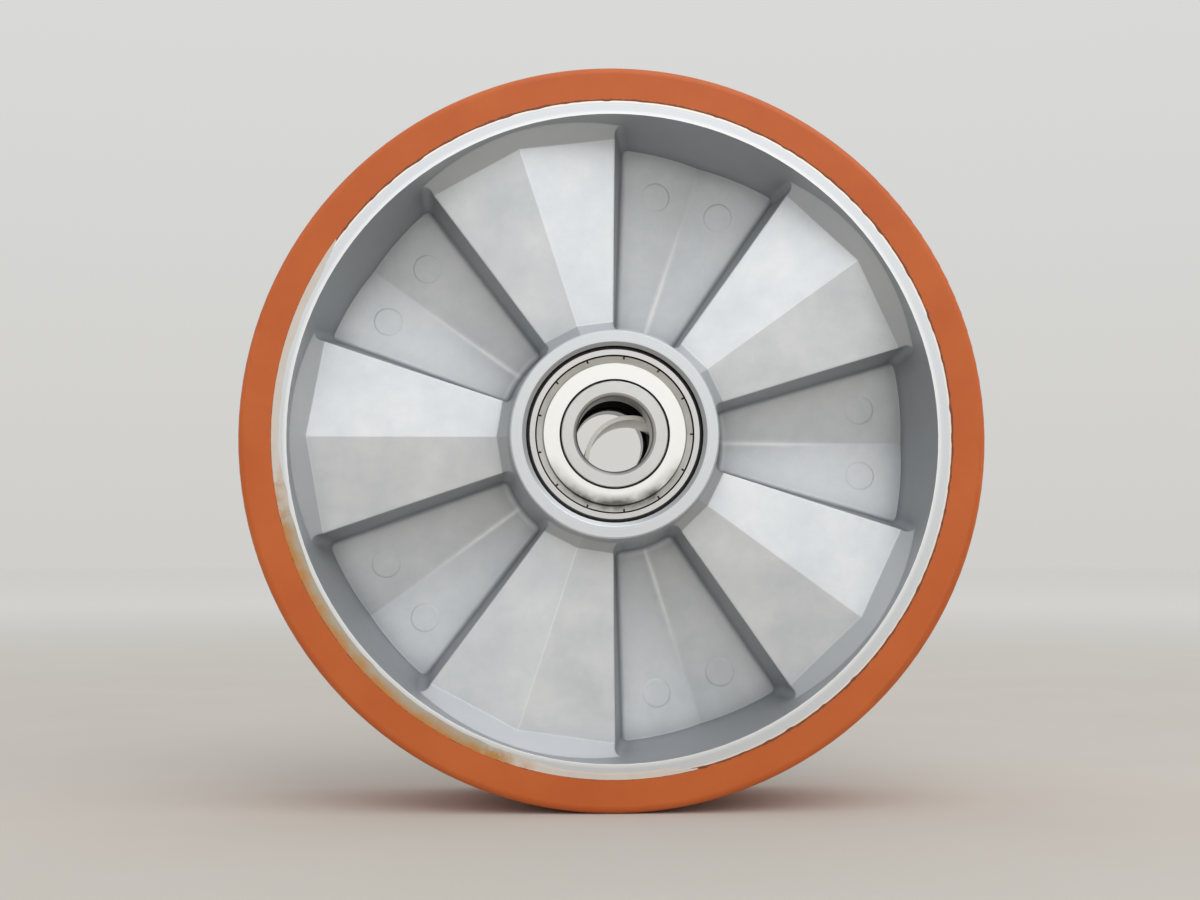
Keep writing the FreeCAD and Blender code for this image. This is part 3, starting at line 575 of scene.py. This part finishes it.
# Shields: thin bright steel sheet, pressed to a dished ring and crimped into the outer ring's groove.
# The plating gives it a warm white sheen. Oil and painted shade darken the crimped band round its flat face,
# oil has darkened both edges, and grime and painted shade darken the lowest part along the band.
shield_face_radius = 18.8 * mm
shield_step_width = 0.05 * mm
shield_bore_radius = 14.5 * mm
shield_mouth_radius = 21.1 * mm
dark_edge_width = 0.15 * mm
low_shade_top_share = 0.3
low_shade_reach = 3 * mm
haze_size = 4 * mm
shield_steel, tree, surface = new_material("bright_plated_shield_steel", {"Metallic": 1})
point = add_node(tree, "ShaderNodeTexCoord").outputs["Object"]
radius = axle_distance(tree, point)
haze = add_node(tree, "ShaderNodeTexNoise", {"Vector": point, "Scale": 1 / haze_size, "Detail": 4}).outputs[0]
plating = add_node(tree, "ShaderNodeMix", {
    0: haze, 6: linear("#FBFBF8"), 7: linear("#FFFFFD")}, data_type="RGBA").outputs[2]
# the crimped band is darker: oil and painted shade
oil_and_shade = add_node(tree, "ShaderNodeMix", {
    0: haze, 6: linear("#B3B2AD"), 7: linear("#D3D2CE")}, data_type="RGBA").outputs[2]
on_crimp = add_node(tree, "ShaderNodeMath", {
    0: radius, 1: shield_face_radius + shield_step_width}, operation="GREATER_THAN").outputs[0]
colour = add_node(tree, "ShaderNodeMix", {0: on_crimp, 6: plating, 7: oil_and_shade}, data_type="RGBA").outputs[2]
# darker towards the bottom along the step: grime and painted shade
up = add_node(tree, "ShaderNodeSeparateXYZ", {0: point}).outputs["Z"]
lowest = add_node(tree, "ShaderNodeMapRange", {
    "Value": up, "From Min": -shield_face_radius, "From Max": -low_shade_top_share * shield_face_radius,
    "To Min": 2.4, "To Max": 0}).outputs[0]
off_step = add_node(tree, "ShaderNodeMath", {
    0: radius, 1: shield_face_radius}, operation="SUBTRACT").outputs[0]
off_step = add_node(tree, "ShaderNodeMath", {0: off_step}, operation="ABSOLUTE").outputs[0]
at_step = add_node(tree, "ShaderNodeMapRange", {
    "Value": off_step, "From Max": low_shade_reach, "To Min": 1, "To Max": 0}).outputs[0]
grime_and_low_shade = add_node(tree, "ShaderNodeMath", {0: lowest, 1: at_step}, operation="MULTIPLY").outputs[0]
grime_and_low_shade = add_node(tree, "ShaderNodeMath", {0: grime_and_low_shade, 1: haze}, operation="MULTIPLY", use_clamp=True).outputs[0]
colour = add_node(tree, "ShaderNodeMix", {
    0: grime_and_low_shade, 6: colour, 7: linear("#6E6D67")}, data_type="RGBA").outputs[2]
inside_edge = add_node(tree, "ShaderNodeMath", {
    0: radius, 1: shield_bore_radius + dark_edge_width}, operation="LESS_THAN").outputs[0]
outside_edge = add_node(tree, "ShaderNodeMath", {
    0: radius, 1: shield_mouth_radius - dark_edge_width}, operation="GREATER_THAN").outputs[0]
on_edge = add_node(tree, "ShaderNodeMath", {0: inside_edge, 1: outside_edge}, operation="MAXIMUM").outputs[0]
colour = add_node(tree, "ShaderNodeMix", {
    0: on_edge, 6: colour, 7: linear("#3A3937")}, data_type="RGBA").outputs[2]
roughness = add_node(tree, "ShaderNodeMapRange", {"Value": haze, "To Min": 0.3, "To Max": 0.42}).outputs[0]
tree.links.new(colour, surface.inputs["Base Color"])
tree.links.new(roughness, surface.inputs["Roughness"])


# Cages: two pressed ribbons of soft steel, one on each side of the balls, that rivets hold together.
# They are dull grey from the press, with small scuffs.
scuff_size = 1.5 * mm
cage_steel, tree, surface = new_material("pressed_cage_steel", {"Metallic": 1})
point = add_node(tree, "ShaderNodeTexCoord").outputs["Object"]
scuffs = add_node(tree, "ShaderNodeTexNoise", {
    "Vector": point, "Scale": 1 / scuff_size, "Detail": 5}).outputs[0]
colour = add_node(tree, "ShaderNodeMix", {
    0: scuffs, 6: linear("#8F8E8A"), 7: linear("#B0AFAB")}, data_type="RGBA").outputs[2]
roughness = add_node(tree, "ShaderNodeMapRange", {"Value": scuffs, "To Min": 0.35, "To Max": 0.55}).outputs[0]
tree.links.new(colour, surface.inputs["Base Color"])
tree.links.new(roughness, surface.inputs["Roughness"])


# Balls: lapped chrome steel, which the cage keeps apart between the rings. They are mirror bright under
# a thin, smeared film of grease.
grease_smear = 2 * mm
ball_steel, tree, surface = new_material("lapped_ball_steel", {"Metallic": 1})
point = add_node(tree, "ShaderNodeTexCoord").outputs["Object"]
grease = add_node(tree, "ShaderNodeTexNoise", {
    "Vector": point, "Scale": 1 / grease_smear, "Detail": 3}).outputs[0]
colour = add_node(tree, "ShaderNodeMix", {
    0: grease, 6: linear("#C9C8C2"), 7: linear("#DADAD6")}, data_type="RGBA").outputs[2]
roughness = add_node(tree, "ShaderNodeMapRange", {"Value": grease, "To Min": 0.05, "To Max": 0.16}).outputs[0]
tree.links.new(colour, surface.inputs["Base Color"])
tree.links.new(roughness, surface.inputs["Roughness"])

# both bearings have the same pieces, so a node's finish goes by the word in its name
bearing_finishes = {"ring": bearing_steel, "shield": shield_steel, "cage": cage_steel, "ball": ball_steel}
for name, node in nodes.items():
    for word, finish in bearing_finishes.items():
        if word in name.split("_"):
            node.material_slots[0].material = finish


# Spacer tube: cold drawn steel tube, cut to length, that keeps the inner rings apart on the axle.
# Drawing leaves fine lines along it, which are shown coarser than they are, and it lies loose in the hub.
draw_line = 0.3 * mm
draw_stretch = 50
tube_steel, tree, surface = new_material("drawn_steel_tube", {"Metallic": 1})
point = add_node(tree, "ShaderNodeTexCoord").outputs["Object"]
stretched = add_node(tree, "ShaderNodeMapping", {
    "Vector": point, "Scale": (1, 1 / draw_stretch, 1)}).outputs[0]
draw_lines = add_node(tree, "ShaderNodeTexNoise", {
    "Vector": stretched, "Scale": 1 / draw_line, "Detail": 2}).outputs[0]
colour = add_node(tree, "ShaderNodeMix", {
    0: draw_lines, 6: linear("#CFCDC8"), 7: linear("#E3E1DC")}, data_type="RGBA").outputs[2]
roughness = add_node(tree, "ShaderNodeMapRange", {
    "Value": draw_lines, "To Min": 0.28, "To Max": 0.45}).outputs[0]
tree.links.new(colour, surface.inputs["Base Color"])
tree.links.new(roughness, surface.inputs["Roughness"])
nodes["spacer_tube"].material_slots[0].material = tube_steel


# Floor: a plain pale matt sheet that the wheel stands on. It is wide, and grows paler away from the wheel
# until it is as pale as the room at the horizon.
floor_z = cad_box[0].z
floor_radius = 6.0
floor_sides = 96
floor_fade_from, floor_fade_to = 0.25, 1.8
floor_patch = 60 * mm
matt_floor, tree, surface = new_material("pale_matt_floor", {"Roughness": 0.8})
point = add_node(tree, "ShaderNodeTexCoord").outputs["Object"]
patches = add_node(tree, "ShaderNodeTexNoise", {
    "Vector": point, "Scale": 1 / floor_patch, "Detail": 4}).outputs[0]
near = add_node(tree, "ShaderNodeMix", {
    0: patches, 6: linear("#C4BEB4"), 7: linear("#CAC5BD")}, data_type="RGBA").outputs[2]
away = add_node(tree, "ShaderNodeVectorMath", {0: point}, operation="LENGTH").outputs["Value"]
fade = add_node(tree, "ShaderNodeMapRange", {
    "Value": away, "From Min": floor_fade_from, "From Max": floor_fade_to},
    interpolation_type="SMOOTHSTEP").outputs[0]
colour = add_node(tree, "ShaderNodeMix", {
    0: fade, 6: near, 7: linear("#E5E3DE")}, data_type="RGBA").outputs[2]
tree.links.new(colour, surface.inputs["Base Color"])
sheet = bmesh.new()
bmesh.ops.create_circle(sheet, cap_ends=True, segments=floor_sides, radius=floor_radius)
bmesh.ops.translate(sheet, verts=sheet.verts, vec=(0, 0, floor_z))
floor = bpy.data.objects.new("floor", bpy.data.meshes.new("floor"))
sheet.to_mesh(floor.data)
sheet.free()
floor.data.materials.append(matt_floor)
scene.collection.objects.link(floor)


# Light: an even pale room, brighter towards the ceiling, a soft lamp above on the right and a wide, weaker
# panel behind the camera, which the flat metal faces mirror.
room_strength = 0.88
ceiling_from = 0.9
world = bpy.data.worlds.new("pale_room")
scene.world = world
world.use_nodes = True
tree = world.node_tree
tree.nodes.clear()
heading = add_node(tree, "ShaderNodeTexCoord").outputs["Generated"]
upwards = add_node(tree, "ShaderNodeSeparateXYZ", {0: heading}).outputs["Z"]
share = add_node(tree, "ShaderNodeMapRange", {"Value": upwards, "From Max": ceiling_from}).outputs[0]
room = add_node(tree, "ShaderNodeMix", {
    0: share, 6: linear("#DCDBD7"), 7: linear("#F6F8FB")}, data_type="RGBA").outputs[2]
background = add_node(tree, "ShaderNodeBackground", {"Color": room, "Strength": room_strength})
add_node(tree, "ShaderNodeOutputWorld", {"Surface": background.outputs[0]})

for name, place, size, power in (
        ("ceiling_lamp", (0.5, -0.75, 1.2), 1.6, 7.5),
        ("front_panel", (0.1, -1.4, 0.75), 1.7, 2.5)):
    lamp = bpy.data.lights.new(name, "AREA")
    lamp.shape = "DISK"
    lamp.size = size
    lamp.energy = power
    holder = bpy.data.objects.new(name, lamp)
    holder.location = place
    holder.rotation_euler = (-Vector(place)).to_track_quat("-Z", "Y").to_euler()
    scene.collection.objects.link(holder)


# Camera: just below the axle and a little left of it, looking slightly up, with the photograph's angle
# of view.
camera_place = (-16.65 * mm, -439.55 * mm, -30.89 * mm)
camera_tilt, camera_turn = math.radians(93.698), math.radians(-1.771)
camera = bpy.data.cameras.new("camera")
camera.sensor_width = 36
camera.lens = 46.8
camera.clip_start = 10 * mm
camera_holder = bpy.data.objects.new("camera", camera)
camera_holder.location = camera_place
camera_holder.rotation_euler = (camera_tilt, 0, camera_turn)
scene.collection.objects.link(camera_holder)
scene.camera = camera_holder
